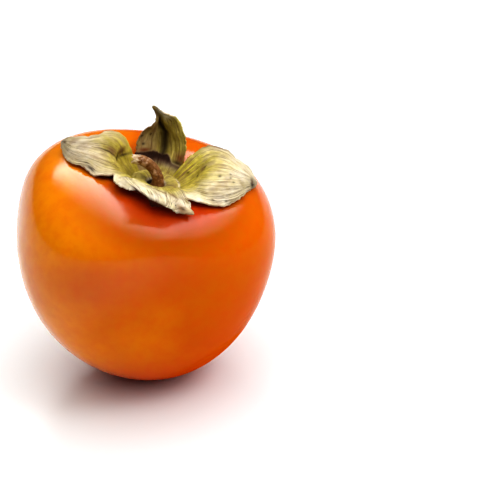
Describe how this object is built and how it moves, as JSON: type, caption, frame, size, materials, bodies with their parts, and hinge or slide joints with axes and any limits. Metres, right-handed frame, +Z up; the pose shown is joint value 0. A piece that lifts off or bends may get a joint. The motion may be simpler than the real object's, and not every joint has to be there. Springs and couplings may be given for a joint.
{
  "type": "persimmon",
  "caption": "Whole ripe persimmon with a smooth skin, a dried lobed calyx lying over its shoulder and a short broken woody stem.",
  "frame": {"origin": "centre of the small flat spot that the fruit rests on, beside its blossom point", "axes": "+Z up as the fruit rests; the calyx and the stem lean about 12 degrees from +Z towards +X; the upright sepal is towards +Y"},
  "size_m": [0.0776, 0.0762, 0.082],
  "materials": {
    "orange_skin": "smooth waxy fruit skin, half gloss",
    "dried_sepal": "dry, matte, veined",
    "stem_bark": "rough bark",
    "dark_point": "dry, matte"
  },
  "bodies": {
    "root": {"fruit": "orange_skin", "calyx": "dried_sepal", "stem": "stem_bark", "style_remnant": "dark_point"}
  },
  "joints": []
}
